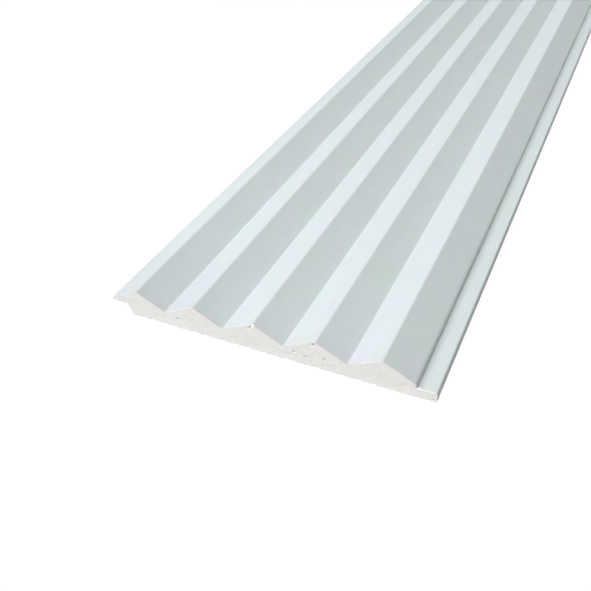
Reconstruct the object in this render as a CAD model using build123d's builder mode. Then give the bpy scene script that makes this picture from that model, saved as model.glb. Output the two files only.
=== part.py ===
"""Fluted wall panel: one length of foamed polystyrene, extruded with sharp V flutes along its face.

The panel lies on its back, face up. X runs across the flutes, Y along the length, and the origin is
at the middle of the back. The long edges lap: the ledge on the +X edge goes under the next panel's
lip, so a row of panels repeats every RIDGE_COUNT * PITCH with the flutes unbroken.
Sizes are in millimetres, and outline heights are to the sharp corners, before they are rounded.
"""

import os

from build123d import *

# Stock and flutes
LENGTH = 2400.0
RIDGE_COUNT = 5
PITCH = 24.0
BASE_THICKNESS = 5.6  # back to the bottom of a flute
RIDGE_RISE = 5.8  # bottom of a flute to a sharp crest
CREST_RADIUS = 1.2
VALLEY_RADIUS = 0.4

# Ledge along the +X edge, a round-nosed step below the last slope
STEP_REACH = 0.5  # how far the last slope runs on past the bottom of a flute
STEP_DROP = 1.2
STEP_RUN = 0.2
STEP_RADIUS = 1.5
LEDGE_WIDTH = 7.0
LEDGE_FOOT_RADIUS = 0.1
LEDGE_EDGE_RADIUS = 0.8

# Lip along the -X edge, which carries the first slope on over the next panel's ledge
LIP_TIP_RADIUS = 0.5
LIP_UNDER_RADIUS = 0.3
LIP_ROOT_RADIUS = 0.5
HEEL_DRAFT = 1.8

# Clearances of the lap joint
LAP_CLEARANCE = 0.3  # ledge to the underside of the lip
JOINT_GAP = 0.5  # foot of the step to the tip of the lip
SIDE_GAP = 0.2  # edge of the ledge to the root of the lip

# Distances across the panel from its first crest
cover_width = RIDGE_COUNT * PITCH
step_top = cover_width - PITCH / 2 + STEP_REACH
step_foot = step_top + STEP_RUN
ledge_edge = step_foot + LEDGE_WIDTH
lip_tip = step_foot + JOINT_GAP - cover_width
lip_root = ledge_edge + SIDE_GAP - cover_width
heel = lip_root + HEEL_DRAFT

# The first crest lies left of the origin, which is midway between the two long edges
first_crest = -(lip_tip + ledge_edge) / 2

# Heights above the back
steepness = RIDGE_RISE / (PITCH / 2)
crest_height = BASE_THICKNESS + RIDGE_RISE
step_height = BASE_THICKNESS - STEP_REACH * steepness
ledge_height = step_height - STEP_DROP
lip_under_height = ledge_height + LAP_CLEARANCE
lip_tip_height = crest_height + lip_tip * steepness


def corner(across, height):
    """A corner of the section, from its distance past the first crest and its height above the back."""
    return (first_crest + across, height)


def round_corner(section, point, radius):
    """Round the corner of a section that lies at a point."""
    fillet(section.vertices().sort_by_distance(point)[0], radius)


crests = [corner(i * PITCH, crest_height) for i in range(RIDGE_COUNT)]
valleys = [corner((i + 0.5) * PITCH, BASE_THICKNESS) for i in range(RIDGE_COUNT - 1)]

# The two lapped edges, each in order from the face to the back
step_corner = corner(step_top, step_height)
foot_corner = corner(step_foot, ledge_height)
ledge_corner = corner(ledge_edge, ledge_height)
ledge_back_corner = corner(ledge_edge, 0)
lip_tip_corner = corner(lip_tip, lip_tip_height)
lip_under_corner = corner(lip_tip, lip_under_height)
lip_root_corner = corner(lip_root, lip_under_height)
heel_corner = corner(heel, 0)

# The outline from the lip's tip over the flutes to the ledge, and home along the back
flutes = [point for pair in zip(crests, valleys) for point in pair] + crests[-1:]
ledge_side = [step_corner, foot_corner, ledge_corner, ledge_back_corner]
lip_side = [heel_corner, lip_root_corner, lip_under_corner]

roundings = [
    *((point, CREST_RADIUS) for point in crests),
    *((point, VALLEY_RADIUS) for point in valleys),
    (step_corner, STEP_RADIUS),
    (foot_corner, LEDGE_FOOT_RADIUS),
    (ledge_corner, LEDGE_EDGE_RADIUS),
    (lip_tip_corner, LIP_TIP_RADIUS),
    (lip_under_corner, LIP_UNDER_RADIUS),
    (lip_root_corner, LIP_ROOT_RADIUS),
]

with BuildPart() as fluted_panel:
    with BuildSketch(Plane.XZ) as section:
        with BuildLine():
            Polyline(lip_tip_corner, *flutes, *ledge_side, *lip_side, close=True)
        make_face()
        for point, radius in roundings:
            round_corner(section, point, radius)
    extrude(amount=LENGTH / 2, both=True)

fluted_panel.part.label = "fluted_panel"

os.makedirs("parts", exist_ok=True)
export_step(fluted_panel.part, "parts/fluted_panel.step")
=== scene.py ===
import math

import bpy
import numpy as np
from mathutils import Euler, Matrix, Quaternion, Vector, noise


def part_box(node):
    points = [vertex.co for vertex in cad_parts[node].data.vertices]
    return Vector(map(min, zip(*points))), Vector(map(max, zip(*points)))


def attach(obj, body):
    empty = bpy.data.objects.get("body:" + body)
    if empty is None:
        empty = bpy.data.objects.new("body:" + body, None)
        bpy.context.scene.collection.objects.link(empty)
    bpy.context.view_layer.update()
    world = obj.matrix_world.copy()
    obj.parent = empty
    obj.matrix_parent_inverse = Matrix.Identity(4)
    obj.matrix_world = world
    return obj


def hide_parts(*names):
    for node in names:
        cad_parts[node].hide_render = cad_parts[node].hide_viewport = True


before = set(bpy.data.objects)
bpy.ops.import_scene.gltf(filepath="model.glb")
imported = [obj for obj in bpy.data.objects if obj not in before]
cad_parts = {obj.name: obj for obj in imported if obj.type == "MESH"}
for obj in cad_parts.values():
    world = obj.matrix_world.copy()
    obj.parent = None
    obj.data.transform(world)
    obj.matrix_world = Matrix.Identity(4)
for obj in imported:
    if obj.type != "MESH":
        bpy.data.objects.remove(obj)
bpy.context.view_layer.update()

MM = 0.001
NODE = "fluted_panel"

low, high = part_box(NODE)

# The section of the panel
RIDGE_COUNT = 5
PITCH = 24.0 * MM
BASE_THICKNESS = 5.6 * MM
RIDGE_RISE = 5.8 * MM
CREST_RADIUS = 1.2 * MM
VALLEY_RADIUS = 0.4 * MM
STEP_REACH = 0.5 * MM
STEP_DROP = 1.2 * MM
STEP_RUN = 0.2 * MM
STEP_RADIUS = 1.5 * MM
LEDGE_WIDTH = 7.0 * MM
LEDGE_FOOT_RADIUS = 0.1 * MM
LEDGE_EDGE_RADIUS = 0.8 * MM
LIP_TIP_RADIUS = 0.5 * MM
LIP_UNDER_RADIUS = 0.3 * MM
LIP_ROOT_RADIUS = 0.5 * MM
HEEL_DRAFT = 1.8 * MM
LAP_CLEARANCE = 0.3 * MM
JOINT_GAP = 0.5 * MM
SIDE_GAP = 0.2 * MM

# The wear of the back's two long arrises
BACK_ARRIS_RADIUS = 0.35 * MM
HEEL_RADIUS = 0.9 * MM

# How finely the section is divided: the turn of one arc segment, the widest column and the rows of an end
ARC_STEP = math.radians(7.0)
COLUMN_STEP = 0.34 * MM
COLUMN_DECIMALS = 5
END_ROWS = 32

# The cut ends: the sawn foam is a little uneven, and the arrises are worn, each by the way its face looks
SAW_DEPTH = 0.10 * MM
SAW_LENGTH = 1.6 * MM
SAW_FADE = 0.3 * MM  # how far from the rim of the cut its unevenness begins
CRISP_WEAR = 0.06 * MM
LIP_SIDE_WEAR = 0.36 * MM
LIP_WEAR = 0.18 * MM
LIP_ZONE = 6.0 * MM  # how far past the first crest the lip's wear is reached
LEDGE_WEAR = 0.42 * MM
BACK_WEAR = 0.08 * MM
BACK_NOTCH = 0.75 * MM
BACK_NOTCH_LENGTH = 1.5 * MM
BACK_WEAR_REACH = 2.5  # how much further the wear runs in along the back than up the cut
WALL_WEAR = 0.14 * MM  # at the two side walls, whose corners are only lightly rounded
WALL_ZONE = 1.5 * MM
WEAR_CHANGE = 0.85  # the share by which the wear changes along an arris
WEAR_LENGTH = 2.2 * MM
WEAR_FADE = 8.0 * MM  # how far along the panel the lines of its skin follow the worn arris
ARRIS_STEPS = 4
WORN_ARRIS_SHADE = 0.22  # how much shade is painted on the face's worn arris to dull its highlight, as a share of the deepest pit's
NORMAL_REACH = 0.15 * MM

# Seeds of the noise at each end, and what the saw marks and the notches add to them
NEAR_SEED = 3.0
FAR_SEED = 41.0
SAW_SEED = 5
NOTCH_SEED = 9
SEED_STEPS = (1.0, 2.3, 0.7)
NOISE_GAIN = 0.9

# Chips broken out of the near end: across from the first crest, out from the cut, height and radius
NEAR_CHIPS = [
    (48.1, 0.5, 11.6, 1.15),
    (80.5, 0.5, 8.4, 1.35),
    (106.8, 0.2, 6.6, 0.55),
    (115.6, 0.3, 4.7, 0.6),
    (117.6, 0.5, -0.7, 2.7),
]
CHIP_SMALLEST = 0.85  # the least share of its radius that a chip reaches
CHIP_CHANGE = 0.3
CHIPPED_CORNERS = 3  # the corners of a face in a chip that make it broken foam

# Open cells in the near end's foam: across from the first crest, height, radius and depth
NEAR_PITS = [
    (17.6, 4.2, 0.45, 0.6),
    (41.3, 3.4, 0.6, 0.25),
    (47.3, 9.9, 0.5, 0.8),
    (51.9, 2.9, 0.4, 0.4),
    (64.3, 4.5, 0.5, 0.6),
    (68.6, 3.6, 0.5, 0.6),
    (70.6, 2.1, 0.4, 0.5),
    (71.5, 10.1, 0.55, 0.9),
    (75.6, 4.8, 0.5, 0.6),
    (77.0, 2.6, 0.4, 0.4),
    (104.9, 3.8, 0.4, 0.5),
    (114.4, 1.1, 0.45, 0.6),
]
DEEPEST_PIT = max(depth for across, height, radius, depth in NEAR_PITS) * MM

# Distances along the panel of the rings of points near its ends, and the number of rings between them
END_STATIONS = [s * MM for s in (0.25, 0.5, 0.8, 1.2, 1.7, 2.4, 3.5, 5.5, 9, 15, 26, 45, 80)]
MIDDLE_STATIONS = 12

# The camera, from the photo's perspective: its place from the middle of the near end's back edge
IMAGE_PX = 591.0
FOCAL_PX = 767.4
SENSOR = 36.0
CAMERA_PLACE = Vector((95.07, -183.16, 180.96)) * MM
CAMERA_HEADING = math.radians(24.24)
CAMERA_PITCH = math.radians(37.05)
CAMERA_ROLL = math.radians(0.46)
CLIP_START = 10 * MM
CLIP_END = 100.0


def corner_arc(before, corner, after, radius):
    """Points of the arc that rounds a corner between its two neighbours."""
    u = (before - corner) / np.linalg.norm(before - corner)
    v = (after - corner) / np.linalg.norm(after - corner)
    half = math.acos(np.clip(u @ v, -1.0, 1.0)) / 2
    middle = corner + (u + v) / np.linalg.norm(u + v) * radius / math.sin(half)
    start = corner + u * radius / math.tan(half) - middle
    turn = math.pi - 2 * half
    if u[0] * v[1] - u[1] * v[0] > 0:
        turn = -turn
    steps = max(2, math.ceil(abs(turn) / ARC_STEP))
    angles = np.linspace(0, turn, steps + 1)
    cos, sin = np.cos(angles), np.sin(angles)
    across = middle[0] + cos * start[0] - sin * start[1]
    height = middle[1] + sin * start[0] + cos * start[1]
    return np.stack([across, height], 1)


def rounded_chain(corners):
    """A line through rounded corners, each (across, height, radius). Its end points only give directions."""
    points = [np.array(c[:2]) for c in corners]
    arcs = []
    for i in range(1, len(corners) - 1):
        arcs.append(corner_arc(points[i - 1], points[i], points[i + 1], corners[i][2]))
    return np.concatenate(arcs)


def section_chains():
    """The upper and lower lines of the section, from its left wall to its right wall.

    Also returns the places of the first crest and the step's foot."""
    cover = RIDGE_COUNT * PITCH
    crest = BASE_THICKNESS + RIDGE_RISE
    steepness = RIDGE_RISE / (PITCH / 2)
    step_height = BASE_THICKNESS - STEP_REACH * steepness
    ledge = step_height - STEP_DROP
    lip_under = ledge + LAP_CLEARANCE
    step_top = cover - PITCH / 2 + STEP_REACH
    step_foot = step_top + STEP_RUN
    ledge_edge = step_foot + LEDGE_WIDTH
    lip_tip = step_foot + JOINT_GAP - cover
    lip_top = crest + lip_tip * steepness
    lip_root = ledge_edge + SIDE_GAP - cover
    heel = lip_root + HEEL_DRAFT
    first_crest = -(lip_tip + ledge_edge) / 2
    lip_middle = (lip_under + lip_top) / 2
    upper = [(lip_tip, lip_middle, 0), (lip_tip, lip_top, LIP_TIP_RADIUS)]
    for i in range(RIDGE_COUNT):
        upper.append((i * PITCH, crest, CREST_RADIUS))
        if i < RIDGE_COUNT - 1:
            upper.append(((i + 0.5) * PITCH, BASE_THICKNESS, VALLEY_RADIUS))
    upper += [
        (step_top, step_height, STEP_RADIUS),
        (step_foot, ledge, LEDGE_FOOT_RADIUS),
        (ledge_edge, ledge, LEDGE_EDGE_RADIUS),
        (ledge_edge, ledge / 2, 0),
    ]
    lower = [
        (lip_tip, lip_middle, 0),
        (lip_tip, lip_under, LIP_UNDER_RADIUS),
        (lip_root, lip_under, LIP_ROOT_RADIUS),
        (heel, 0, HEEL_RADIUS),
        (ledge_edge, 0, BACK_ARRIS_RADIUS),
        (ledge_edge, ledge / 2, 0),
    ]
    shift = np.array([first_crest, 0])
    return rounded_chain(upper) + shift, rounded_chain(lower) + shift, first_crest, first_crest + step_foot


def column_places(upper, lower):
    """Where the section's columns stand: at every corner point, and close enough together between them."""
    corners = np.unique(np.round(np.concatenate([upper[:, 0], lower[:, 0]]), COLUMN_DECIMALS))
    places = [corners[0]]
    for a, b in zip(corners, corners[1:]):
        count = max(1, math.ceil((b - a) / COLUMN_STEP))
        places += list(a + (b - a) * np.arange(1, count + 1) / count)
    return np.array(places)


def section_grid():
    """The section as a grid of points, rows from its upper line to its lower line.

    Also returns the places of the first crest and the step's foot."""
    upper, lower, first_crest, foot = section_chains()
    across = column_places(upper, lower)
    top = np.minimum(np.interp(across, upper[:, 0], upper[:, 1]), high.z)
    bottom = np.interp(across, lower[:, 0], lower[:, 1])
    share = np.linspace(0, 1, END_ROWS + 1)[:, None]
    heights = top + (bottom - top) * share
    return np.stack([np.broadcast_to(across, heights.shape), heights], 2), first_crest, foot


def rim_of(grid_shape):
    """Row and column of each point round the rim of a grid, clockwise from its upper left corner."""
    rows, columns = grid_shape[0] - 1, grid_shape[1] - 1
    rim = [(0, j) for j in range(columns + 1)]
    rim += [(i, columns) for i in range(1, rows)]
    rim += [(rows, j) for j in range(columns, -1, -1)]
    rim += [(i, 0) for i in range(rows - 1, 0, -1)]
    return np.array(rim)


def inward_normals(loop):
    """Unit normals of a clockwise loop of points, towards its inside, each over a short reach of the loop."""
    closed = np.concatenate([loop, loop[:1]])
    run = np.concatenate([[0], np.cumsum(np.linalg.norm(np.diff(closed, axis=0), axis=1))])
    ahead = (run[:-1] + NORMAL_REACH) % run[-1]
    behind = (run[:-1] - NORMAL_REACH) % run[-1]
    along = np.stack([np.interp(ahead, run, line) - np.interp(behind, run, line) for line in closed.T], 1)
    along /= np.linalg.norm(along, axis=1)[:, None]
    return np.stack([along[:, 1], -along[:, 0]], 1)


def points_at(section_points, along):
    """Points of the section set at a place along the panel, or at one for each point."""
    places = np.broadcast_to(along, len(section_points))
    return np.column_stack([section_points[:, 0], places, section_points[:, 1]])


def rough(points, length, seed):
    """Smooth noise from 0 to 1 at points in space."""
    offset = Vector([seed * step for step in SEED_STEPS])
    values = [noise.noise(Vector(p) / length + offset) for p in points]
    return np.clip(0.5 + NOISE_GAIN * np.array(values), 0, 1)


def wear_radius(loop, normals, first_crest, end, seed):
    """How far the arris of a cut end is worn at each point of its rim, on the cut and in along the panel."""
    steepest = math.sin(math.atan(RIDGE_RISE / (PITCH / 2)))
    to_lip = np.clip(normals[:, 0] / steepest, 0, 1) * (normals[:, 1] < 0)
    radius = CRISP_WEAR + (LIP_SIDE_WEAR - CRISP_WEAR) * to_lip
    on_lip = np.clip((first_crest - loop[:, 0]) / LIP_ZONE, 0, 1)
    radius += (LIP_WEAR - radius) * on_lip
    past_last_crest = loop[:, 0] - first_crest - (RIDGE_COUNT - 1) * PITCH
    radius += (LEDGE_WEAR - radius) * np.clip(past_last_crest / CREST_RADIUS, 0, 1)
    place = points_at(loop, end)
    radius *= 1 + WEAR_CHANGE * (2 * rough(place, WEAR_LENGTH, seed) - 1)
    notches = np.clip(2 * rough(place, BACK_NOTCH_LENGTH, seed + NOTCH_SEED) - 1, 0, None)
    on_back = np.clip(2 * normals[:, 1] - 1, 0, 1)
    radius += (BACK_WEAR + BACK_NOTCH * notches - radius) * on_back
    from_wall = np.minimum(loop[:, 0] - loop[:, 0].min(), loop[:, 0].max() - loop[:, 0])
    radius += (WALL_WEAR - radius) * np.clip(1 - from_wall / WALL_ZONE, 0, 1)
    return radius, radius * (1 + (BACK_WEAR_REACH - 1) * on_back)


def break_out(points, chips):
    """Push points out of rough round chips, each a centre and a radius. Also returns which were moved."""
    moved = np.zeros(len(points), bool)
    for centre, radius in chips:
        away = points - centre
        distance = np.linalg.norm(away, axis=1)
        reach = radius * (CHIP_SMALLEST + CHIP_CHANGE * rough(points, radius, radius / MM))
        inside = distance < reach
        points[inside] = centre + away[inside] * (reach / distance)[inside, None]
        moved |= inside
    return points, moved


SKIN, FOAM = 0, 1
# The attribute that sets how much shade is painted on the foam: in the pits and on the face's worn arris
PAINTED_SHADE = "painted_shade"


class PanelMesh:
    """Collects the vertices and faces of the panel."""

    def __init__(self, chips):
        self.chips = chips
        self.vertices = np.empty((0, 3))
        self.broken = np.empty(0, bool)
        self.painted_shades = np.empty(0)
        self.faces = []
        self.materials = []

    def add_points(self, points, painted_shade=0.0):
        """Add points, pushed out of the chips, and return their numbers. The last argument is how much shade
        is painted on the foam there.
        """
        points, moved = break_out(np.array(points, float).reshape(-1, 3), self.chips)
        first = len(self.vertices)
        self.vertices = np.concatenate([self.vertices, points])
        self.broken = np.concatenate([self.broken, moved])
        self.painted_shades = np.concatenate([self.painted_shades, np.broadcast_to(np.ravel(painted_shade), len(points))])
        return np.arange(first, len(self.vertices))

    def add_quads(self, a, b, c, d, material):
        """Add quads of a material, with those inside a chip made foam."""
        quads = np.stack([np.ravel(a), np.ravel(b), np.ravel(c), np.ravel(d)], 1)
        inside = self.broken[quads].sum(1) >= CHIPPED_CORNERS
        self.faces.append(quads)
        self.materials.append(np.where(inside, FOAM, material))

    def make_object(self, name):
        """The smooth-shaded object of all that was added, without its materials."""
        data = bpy.data.meshes.new(name)
        data.from_pydata(self.vertices.tolist(), [], np.concatenate(self.faces).tolist())
        data.polygons.foreach_set("material_index", np.concatenate(self.materials).astype(np.int32))
        data.polygons.foreach_set("use_smooth", np.ones(len(data.polygons), bool))
        data.attributes.new(PAINTED_SHADE, "FLOAT", "POINT").data.foreach_set("value", self.painted_shades)
        data.update()
        made = bpy.data.objects.new(name, data)
        bpy.context.scene.collection.objects.link(made)
        return made


def cut_face(grid, rim, inset, pits, end, inward, seed):
    """The grid of points of a sawn end inside its worn arris, and how far down a pit each of them is, which
    sets the shade painted there.
    """
    edge = np.empty_like(grid)
    edge[rim[:, 0], rim[:, 1]] = inset
    share = np.linspace(0, 1, grid.shape[0])[:, None, None]
    cap = edge[0][None] + (edge[-1] - edge[0])[None] * share
    cap[rim[:, 0], rim[:, 1]] = inset
    flat = cap.reshape(-1, 2)
    depth = SAW_DEPTH * rough(points_at(flat, end), SAW_LENGTH, seed + SAW_SEED)
    painted_shade = np.zeros(len(flat))
    for middle, pit_radius, pit_depth in pits:
        down = np.clip(1 - (np.linalg.norm(flat - middle, axis=1) / pit_radius) ** 2, 0, None)
        depth += pit_depth * down
        painted_shade += down * pit_depth / DEEPEST_PIT
    across, height = cap[:, :, 0], cap[:, :, 1]
    to_edge = np.minimum(edge[0, :, 1] - height, height - edge[-1, :, 1])
    to_wall = np.minimum(across - across.min(), across.max() - across)
    depth = depth.reshape(cap.shape[:2]) * np.clip(np.minimum(to_edge, to_wall) / SAW_FADE, 0, 1)
    depth[rim[:, 0], rim[:, 1]] = 0
    return np.dstack([across, end + inward * depth, height]), painted_shade


def end_rings(loop, normals, radius, run, end, inward):
    """The rings of points of one end, from its worn arris out along the skin.

    end is the Y of the cut, and inward is the way into the panel along Y."""
    rings = []
    for k in range(ARRIS_STEPS - 1, -1, -1):
        angle = math.pi / 2 * k / ARRIS_STEPS
        ring = loop + normals * (radius * (1 - math.cos(angle)))[:, None]
        rings.append(points_at(ring, end + inward * run * (1 - math.sin(angle))))
    for station in END_STATIONS:
        along = station + run * max(0, 1 - station / WEAR_FADE)
        rings.append(points_at(loop, end + inward * along))
    return rings


def middle_rings(loop):
    """The rings of points along the skin between those of the two ends."""
    inner = END_STATIONS[-1]
    places = np.linspace(low.y + inner, high.y - inner, MIDDLE_STATIONS + 2)[1:-1]
    return [points_at(loop, place) for place in places]


def near_marks(first_crest):
    """The chips and the pits of the near end, each its centre and its sizes."""
    chips = [
        (np.array([first_crest + across * MM, low.y - out * MM, height * MM]), radius * MM)
        for across, out, height, radius in NEAR_CHIPS
    ]
    pits = [
        (np.array([first_crest + across * MM, height * MM]), radius * MM, depth * MM)
        for across, height, radius, depth in NEAR_PITS
    ]
    return chips, pits


def panel_object():
    """The panel as one closed mesh, with its cut ends worked out finely."""
    grid, first_crest, foot = section_grid()
    rim = rim_of(grid.shape[:2])
    loop = grid[rim[:, 0], rim[:, 1]]
    normals = inward_normals(loop)
    chips, near_pits = near_marks(first_crest)
    mesh = PanelMesh(chips)
    cuts, end_points = [], []
    for end, inward, pits, seed in ((low.y, 1, near_pits, NEAR_SEED), (high.y, -1, [], FAR_SEED)):
        radius, run = wear_radius(loop, normals, first_crest, end, seed)
        inset = loop + normals * radius[:, None]
        points, painted_shade = cut_face(grid, rim, inset, pits, end, inward, seed)
        cuts.append(mesh.add_points(points, painted_shade).reshape(grid.shape[:2]))
        end_points.append(end_rings(loop, normals, radius, run, end, inward))
    near_cut, far_cut = cuts
    mesh.add_quads(near_cut[:-1, :-1], near_cut[1:, :-1], near_cut[1:, 1:], near_cut[:-1, 1:], FOAM)
    mesh.add_quads(far_cut[:-1, :-1], far_cut[:-1, 1:], far_cut[1:, 1:], far_cut[1:, :-1], FOAM)
    near_points, far_points = end_points
    along = near_points + middle_rings(loop) + far_points[::-1]
    # Painted shade on the face's worn arris up to the step's foot, dulling its highlight
    arris_shade = WORN_ARRIS_SHADE * ((normals[:, 1] < 0) & (loop[:, 0] < foot))
    rings = [near_cut[rim[:, 0], rim[:, 1]]]
    for k, points in enumerate(along):
        worn = min(k, len(along) - 1 - k) < ARRIS_STEPS
        rings.append(mesh.add_points(points, arris_shade if worn else 0.0))
    rings.append(far_cut[rim[:, 0], rim[:, 1]])
    for k, (a, b) in enumerate(zip(rings, rings[1:])):
        worn = min(k, len(along) - k) < ARRIS_STEPS
        mesh.add_quads(a, np.roll(a, -1), np.roll(b, -1), b, FOAM if worn else SKIN)
    panel = mesh.make_object("panel")
    panel.data.materials.append(skin_material(first_crest, foot))
    panel.data.materials.append(foam_material())
    return panel


# The sockets of a colour mix, and a share that rises or falls
MIX_SHARE, MIX_FIRST, MIX_SECOND, MIX_RESULT = 0, 6, 7, 2
RISING = (0.0, 1.0)
FALLING = (1.0, 0.0)


class Surface:
    """A material with its shader, and the nodes that vary it over the panel."""

    def __init__(self, name, specular):
        self.material = bpy.data.materials.new(name)
        self.material.use_nodes = True
        self.nodes = self.material.node_tree.nodes
        self.links = self.material.node_tree.links
        self.shader = self.nodes["Principled BSDF"]
        self.shader.inputs["Specular IOR Level"].default_value = specular
        self.place = self.nodes.new("ShaderNodeTexCoord").outputs["Object"]

    def add(self, kind, inputs, **settings):
        """Add a node with its settings and its inputs, which are sockets to link or values to set."""
        node = self.nodes.new(kind)
        for name, value in settings.items():
            setattr(node, name, value)
        for name, value in inputs.items():
            if isinstance(value, bpy.types.NodeSocket):
                self.links.new(value, node.inputs[name])
            else:
                node.inputs[name].default_value = value
        return node

    def noise(self, size, detail=2.0, stretch=1.0):
        """Smooth noise of a size, drawn out along the panel by a stretch."""
        scale = (1 / size, 1 / (size * stretch), 1 / size)
        place = self.add("ShaderNodeMapping", {"Vector": self.place, "Scale": scale}).outputs[0]
        return self.add("ShaderNodeTexNoise", {"Vector": place, "Scale": 1.0, "Detail": detail}).outputs[0]

    def cells(self, size):
        """Distance from the middle of the nearest cell, in cell sizes."""
        inputs = {"Vector": self.place, "Scale": 1 / size}
        return self.add("ShaderNodeTexVoronoi", inputs).outputs["Distance"]

    def ramp(self, value, span, levels):
        """A value carried smoothly from a span to two levels, and held at its ends."""
        inputs = {
            "Value": value,
            "From Min": span[0],
            "From Max": span[1],
            "To Min": levels[0],
            "To Max": levels[1],
        }
        return self.add("ShaderNodeMapRange", inputs, interpolation_type="SMOOTHSTEP").outputs[0]

    def blend(self, share, first, second):
        """A colour between two others."""
        inputs = {MIX_SHARE: share, MIX_FIRST: first, MIX_SECOND: second}
        return self.add("ShaderNodeMix", inputs, data_type="RGBA").outputs[MIX_RESULT]

    def shade(self, colour, share):
        """A colour made lighter or darker by a share that varies."""
        inputs = {MIX_SHARE: 1.0, MIX_FIRST: colour, MIX_SECOND: share}
        mix = self.add("ShaderNodeMix", inputs, data_type="RGBA", blend_type="MULTIPLY")
        return mix.outputs[MIX_RESULT]

    def both(self, first, second):
        """The product of two shares."""
        return self.add("ShaderNodeMath", {0: first, 1: second}, operation="MULTIPLY").outputs[0]

    def place_along(self, axis):
        """The place on the panel along an axis."""
        return self.add("ShaderNodeSeparateXYZ", {0: self.place}).outputs[axis]

    def near_ends(self, far, near, levels):
        """A value that changes between two distances from the nearer end of the panel."""
        inputs = {0: self.place_along("Y")}
        from_middle = self.add("ShaderNodeMath", inputs, operation="ABSOLUTE").outputs[0]
        return self.ramp(from_middle, (high.y - far, high.y - near), levels)

    def raise_by(self, height, depth, strength):
        """Relief from a height, laid over the relief before it."""
        inputs = {"Height": height, "Distance": depth, "Strength": strength}
        before = self.shader.inputs["Normal"].links
        if before:
            inputs["Normal"] = before[0].from_socket
        self.links.new(self.add("ShaderNodeBump", inputs).outputs[0], self.shader.inputs["Normal"])

    def drive(self, socket, value):
        """Let a value that varies set a socket of the shader."""
        self.links.new(value, self.shader.inputs[socket])


# The skin: its tints, and the sizes, spans and shades of its marks
SKIN_GREENISH = (0.775, 0.869, 0.846, 1)
SKIN_BLUISH = (0.807, 0.855, 0.890, 1)
SKIN_SPECULAR = 0.3
SKIN_ROUGHNESS = (0.5, 0.6)
TINT_SIZE = 13 * MM
TINT_SPAN = (0.3, 0.7)
MARK_SPAN = (0.25, 0.75)
MARK_DETAIL = 3.0
STREAK_SIZE = 0.9 * MM
STREAK_STRETCH = 160.0
STREAK_SHADES = (0.992, 1.006)
STREAK_RELIEF = 0.02 * MM
STREAK_STRENGTH = 0.25
MOTTLE_SIZE = 5 * MM
MOTTLE_STRETCH = 3.0
MOTTLE_SHADES = (0.985, 1.01)
SPECK_SPACING = 9 * MM
SPECK_SPAN = (0.012, 0.035)
SPECK_SHADES = (0.86, 1.0)
GRAIN_SIZE = 0.8 * MM
GRAIN_RELIEF = 0.03 * MM
GRAIN_STRENGTH = 0.3

# Saw dust near the ends
SAW_DUST = (0.815, 0.825, 0.815, 1)
SAW_DUST_REACH = 6 * MM
SAW_DUST_SHARE = 0.5

# Painted shade at the step's foot, where its shadow falls: all along the ledge, but on the step's face only
# near the ends
FOOT_SHADE_LEVEL = 0.85
FOOT_SHADE_ON_FACE = 2.0 * MM
FOOT_SHADE_ON_LEDGE = 3.6 * MM
FOOT_SHADE_BORDER = 0.05 * MM
FACE_SHADE_NEAR = 50 * MM
FACE_SHADE_FAR = 190 * MM

# Painted shade low down in the valleys, darker towards their floors
VALLEY_SHADE_LEVEL = 0.965
VALLEY_SHADE_RISE = 4.0 * MM
VALLEY_SHADE_BORDER = 1.0 * MM

# Painted shade on the ends by the lip, where less light falls
LIP_END_SHADE_LEVEL = 0.955
LIP_END_SHADE_NEAR = 10 * MM
LIP_END_SHADE_FAR = 60 * MM
LIP_END_SHADE_INNER = 16 * MM
LIP_END_SHADE_OUTER = 40 * MM


def painted_foot_shade(skin, foot):
    """The painted shade at the step's foot, where its shadow falls."""
    across = skin.place_along("X")
    on_face = skin.ramp(across, (foot - FOOT_SHADE_ON_FACE, foot), RISING)
    on_ledge = skin.ramp(across, (foot, foot + FOOT_SHADE_ON_LEDGE), FALLING)
    face_shade = skin.near_ends(FACE_SHADE_FAR, FACE_SHADE_NEAR, (1.0, FOOT_SHADE_LEVEL))
    darkest = skin.ramp(across, (foot - FOOT_SHADE_BORDER, foot + FOOT_SHADE_BORDER), (face_shade, FOOT_SHADE_LEVEL))
    return skin.ramp(skin.both(on_face, on_ledge), RISING, (1.0, darkest))


def painted_valley_shade(skin, first_crest):
    """The painted shade low down between the crests."""
    last_crest = first_crest + (RIDGE_COUNT - 1) * PITCH
    rise = (BASE_THICKNESS, BASE_THICKNESS + VALLEY_SHADE_RISE)
    low_down = skin.ramp(skin.place_along("Z"), rise, FALLING)
    between_crests = skin.ramp(skin.place_along("X"), (last_crest - VALLEY_SHADE_BORDER, last_crest), FALLING)
    return skin.ramp(skin.both(low_down, between_crests), RISING, (1.0, VALLEY_SHADE_LEVEL))


def painted_lip_end_shade(skin, first_crest):
    """The painted shade at the ends, by the lip."""
    by_the_end = skin.near_ends(LIP_END_SHADE_FAR, LIP_END_SHADE_NEAR, RISING)
    reach = (first_crest + LIP_END_SHADE_INNER, first_crest + LIP_END_SHADE_OUTER)
    by_the_lip = skin.ramp(skin.place_along("X"), reach, FALLING)
    return skin.ramp(skin.both(by_the_end, by_the_lip), RISING, (1.0, LIP_END_SHADE_LEVEL))


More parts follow.
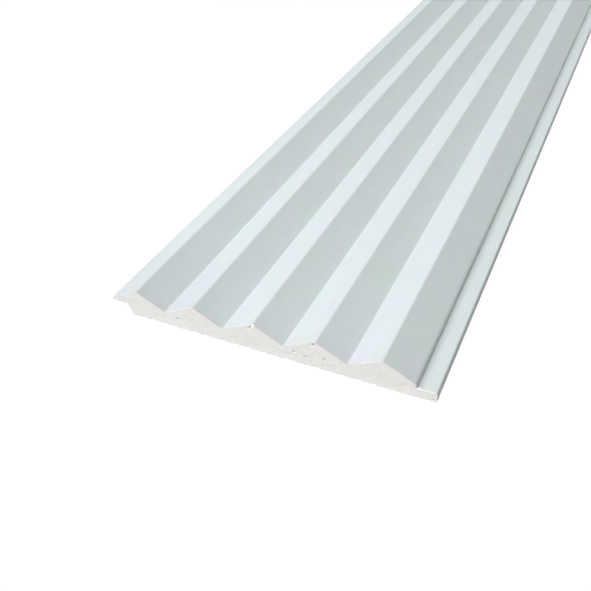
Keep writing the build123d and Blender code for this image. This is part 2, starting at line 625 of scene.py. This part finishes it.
def skin_material(first_crest, foot):
    """The panel's smooth skin: faint tints, streaks along the extrusion, specks, saw dust, and painted shade
    at the step's foot, in the valleys and at the ends by the lip.
    """
    skin = Surface("white_skin", SKIN_SPECULAR)
    tints = skin.noise(TINT_SIZE)
    streaks = skin.noise(STREAK_SIZE, MARK_DETAIL, STREAK_STRETCH)
    mottle = skin.noise(MOTTLE_SIZE, MARK_DETAIL, MOTTLE_STRETCH)
    colour = skin.blend(skin.ramp(tints, TINT_SPAN, RISING), SKIN_GREENISH, SKIN_BLUISH)
    colour = skin.blend(skin.near_ends(SAW_DUST_REACH, 0, (0.0, SAW_DUST_SHARE)), colour, SAW_DUST)
    colour = skin.shade(colour, skin.ramp(streaks, MARK_SPAN, STREAK_SHADES))
    colour = skin.shade(colour, skin.ramp(mottle, MARK_SPAN, MOTTLE_SHADES))
    colour = skin.shade(colour, skin.ramp(skin.cells(SPECK_SPACING), SPECK_SPAN, SPECK_SHADES))
    # Painted shade at the step's foot, low in the valleys and at the ends by the lip
    colour = skin.shade(colour, painted_foot_shade(skin, foot))
    colour = skin.shade(colour, painted_valley_shade(skin, first_crest))
    colour = skin.shade(colour, painted_lip_end_shade(skin, first_crest))
    skin.drive("Base Color", colour)
    skin.drive("Roughness", skin.ramp(tints, TINT_SPAN, SKIN_ROUGHNESS))
    skin.raise_by(streaks, STREAK_RELIEF, STREAK_STRENGTH)
    skin.raise_by(skin.noise(GRAIN_SIZE), GRAIN_RELIEF, GRAIN_STRENGTH)
    return skin.material


# The sawn foam: its tints, and the sizes, spans and shades of its cells, pores and pits
FOAM_PINKISH = (0.806, 0.787, 0.767, 1)
FOAM_GREENISH = (0.780, 0.791, 0.755, 1)
FOAM_SPECULAR = 0.2
FOAM_ROUGHNESS = 0.9
FOAM_TINT_SIZE = 8 * MM
FOAM_TINT_SPAN = (0.35, 0.65)
FOAM_MOTTLE_SIZE = 2 * MM
FOAM_MOTTLE_DETAIL = 4.0
FOAM_MOTTLE_SPAN = (0.3, 0.7)
FOAM_MOTTLE_SHADES = (0.97, 1.02)
CELL_SIZE = 0.5 * MM
CELL_SPAN = (0.0, 0.8)
CELL_SHADES = (1.01, 0.98)
CELL_RELIEF = 0.05 * MM
CELL_STRENGTH = 0.2
PORE_SPACING = 3.2 * MM
PORE_SPAN = (0.05, 0.09)
PORE_SHADES = (0.72, 1.0)
PORE_RELIEF = 0.2 * MM
PORE_STRENGTH = 0.6
# Painted shade in the pits and on the face's worn arris, by how far down a pit each point is
PIT_SPAN = (0.0, 0.8)
PIT_SHADES = (1.0, 0.42)


def foam_material():
    """The sawn foam: fine cells, open pores, faint warm tints, and painted shade in the pits and on the
    face's worn arris.
    """
    foam = Surface("cut_foam", FOAM_SPECULAR)
    foam.shader.inputs["Roughness"].default_value = FOAM_ROUGHNESS
    cells = foam.cells(CELL_SIZE)
    pores = foam.ramp(foam.cells(PORE_SPACING), PORE_SPAN, RISING)
    mottle = foam.noise(FOAM_MOTTLE_SIZE, FOAM_MOTTLE_DETAIL)
    tints = foam.ramp(foam.noise(FOAM_TINT_SIZE), FOAM_TINT_SPAN, RISING)
    painted_shade = foam.add("ShaderNodeAttribute", {}, attribute_name=PAINTED_SHADE).outputs["Fac"]
    colour = foam.blend(tints, FOAM_PINKISH, FOAM_GREENISH)
    colour = foam.shade(colour, foam.ramp(mottle, FOAM_MOTTLE_SPAN, FOAM_MOTTLE_SHADES))
    colour = foam.shade(colour, foam.ramp(cells, CELL_SPAN, CELL_SHADES))
    colour = foam.shade(colour, foam.ramp(pores, RISING, PORE_SHADES))
    colour = foam.shade(colour, foam.ramp(painted_shade, PIT_SPAN, PIT_SHADES))
    foam.drive("Base Color", colour)
    foam.raise_by(cells, CELL_RELIEF, CELL_STRENGTH)
    foam.raise_by(pores, PORE_RELIEF, PORE_STRENGTH)
    return foam.material


def add_camera():
    """The camera that looks at the near end as the photo does."""
    camera = bpy.data.objects.new("camera", bpy.data.cameras.new("camera"))
    bpy.context.scene.collection.objects.link(camera)
    camera.data.sensor_width = SENSOR
    camera.data.lens = SENSOR * FOCAL_PX / IMAGE_PX
    camera.data.clip_start = CLIP_START
    camera.data.clip_end = CLIP_END
    camera.location = Vector((0, low.y, 0)) + CAMERA_PLACE
    aim = Euler((math.pi / 2 - CAMERA_PITCH, 0, CAMERA_HEADING)).to_quaternion()
    camera.rotation_euler = (aim @ Quaternion((0, 0, 1), -CAMERA_ROLL)).to_euler()
    bpy.context.scene.camera = camera


def background_rays(nodes, links):
    """1 for the rays that show the background: from the camera, in reflections and through clear matter."""
    path = nodes.new("ShaderNodeLightPath")
    total = path.outputs["Is Camera Ray"]
    for kind in ("Is Glossy Ray", "Is Transmission Ray"):
        either = nodes.new("ShaderNodeMath")
        either.operation = "MAXIMUM"
        links.new(total, either.inputs[0])
        links.new(path.outputs[kind], either.inputs[1])
        total = either.outputs[0]
    return total


FLOOR_SIZE = 30.0
FLOOR_DROP = 0.05 * MM
FLOOR_SHADOW = 0.12
FLOOR_GLOW = 0.94
FLOOR_BOUNCE = 0.35


def add_floor():
    """A wide white floor, which shows only the darkest of the panel's shadow."""
    bpy.ops.mesh.primitive_plane_add(size=FLOOR_SIZE)
    floor = bpy.context.object
    floor.name = "floor"
    floor.location.z = low.z - FLOOR_DROP
    material = bpy.data.materials.new("floor")
    material.use_nodes = True
    nodes, links = material.node_tree.nodes, material.node_tree.links
    nodes.clear()
    seen = nodes.new("ShaderNodeBsdfDiffuse")
    seen.inputs["Color"].default_value = (FLOOR_SHADOW, FLOOR_SHADOW, FLOOR_SHADOW, 1)
    glow = nodes.new("ShaderNodeEmission")
    glow.inputs["Strength"].default_value = FLOOR_GLOW
    shown = nodes.new("ShaderNodeAddShader")
    links.new(seen.outputs[0], shown.inputs[0])
    links.new(glow.outputs[0], shown.inputs[1])
    bounce = nodes.new("ShaderNodeBsdfDiffuse")
    bounce.inputs["Color"].default_value = (FLOOR_BOUNCE, FLOOR_BOUNCE, FLOOR_BOUNCE, 1)
    mix = nodes.new("ShaderNodeMixShader")
    links.new(background_rays(nodes, links), mix.inputs["Fac"])
    links.new(bounce.outputs[0], mix.inputs[1])
    links.new(shown.outputs[0], mix.inputs[2])
    output = nodes.new("ShaderNodeOutputMaterial")
    links.new(mix.outputs[0], output.inputs["Surface"])
    floor.data.materials.append(material)


# The light that fills the shade is faintly greener than the key light
KEY_COLOUR = (0.970, 0.951, 1.0)
FILL_COLOUR = (0.975, 1.0, 0.948)
WORLD_STRENGTH = 0.12


def add_world():
    """A white background with a faint light of its own."""
    world = bpy.data.worlds.new("studio")
    bpy.context.scene.world = world
    world.use_nodes = True
    nodes, links = world.node_tree.nodes, world.node_tree.links
    nodes.clear()
    white = nodes.new("ShaderNodeBackground")
    white.inputs["Strength"].default_value = 1.0
    white.inputs["Color"].default_value = (1, 1, 1, 1)
    ambient = nodes.new("ShaderNodeBackground")
    ambient.inputs["Strength"].default_value = WORLD_STRENGTH
    ambient.inputs["Color"].default_value = (*FILL_COLOUR, 1)
    mix = nodes.new("ShaderNodeMixShader")
    links.new(background_rays(nodes, links), mix.inputs["Fac"])
    links.new(ambient.outputs[0], mix.inputs[1])
    links.new(white.outputs[0], mix.inputs[2])
    output = nodes.new("ShaderNodeOutputWorld")
    links.new(mix.outputs[0], output.inputs["Surface"])


# The lamps, each by its azimuth from the front towards the lip's side, its elevation, power and colour
LAMP_DISTANCE = 3.0
LAMP_SIZE = 2.4
LAMP_TARGET = 200 * MM  # how far in from the near end the lamps are aimed
LAMPS = {
    "key_light": (30, 35, 81.8, KEY_COLOUR),
    "front_light": (0, 50, 31.9, FILL_COLOUR),
    "back_light": (180, 35, 4.5, FILL_COLOUR),
}


def add_lights():
    """Three round soft lamps about the near end of the panel."""
    target = Vector((0, low.y + LAMP_TARGET, 0))
    for name, (azimuth, elevation, power, colour) in LAMPS.items():
        a, e = math.radians(azimuth), math.radians(elevation)
        direction = Vector((-math.sin(a) * math.cos(e), -math.cos(a) * math.cos(e), math.sin(e)))
        light = bpy.data.lights.new(name, "AREA")
        light.shape = "DISK"
        light.size = LAMP_SIZE
        light.energy = power
        light.color = colour
        lamp = bpy.data.objects.new(name, light)
        bpy.context.scene.collection.objects.link(lamp)
        lamp.location = target + direction * LAMP_DISTANCE
        lamp.rotation_euler = (-direction).to_track_quat("-Z", "Y").to_euler()


panel = panel_object()
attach(panel, "root")
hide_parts(NODE)

add_camera()
add_floor()
add_world()
add_lights()
bpy.context.scene.view_settings.view_transform = "Standard"
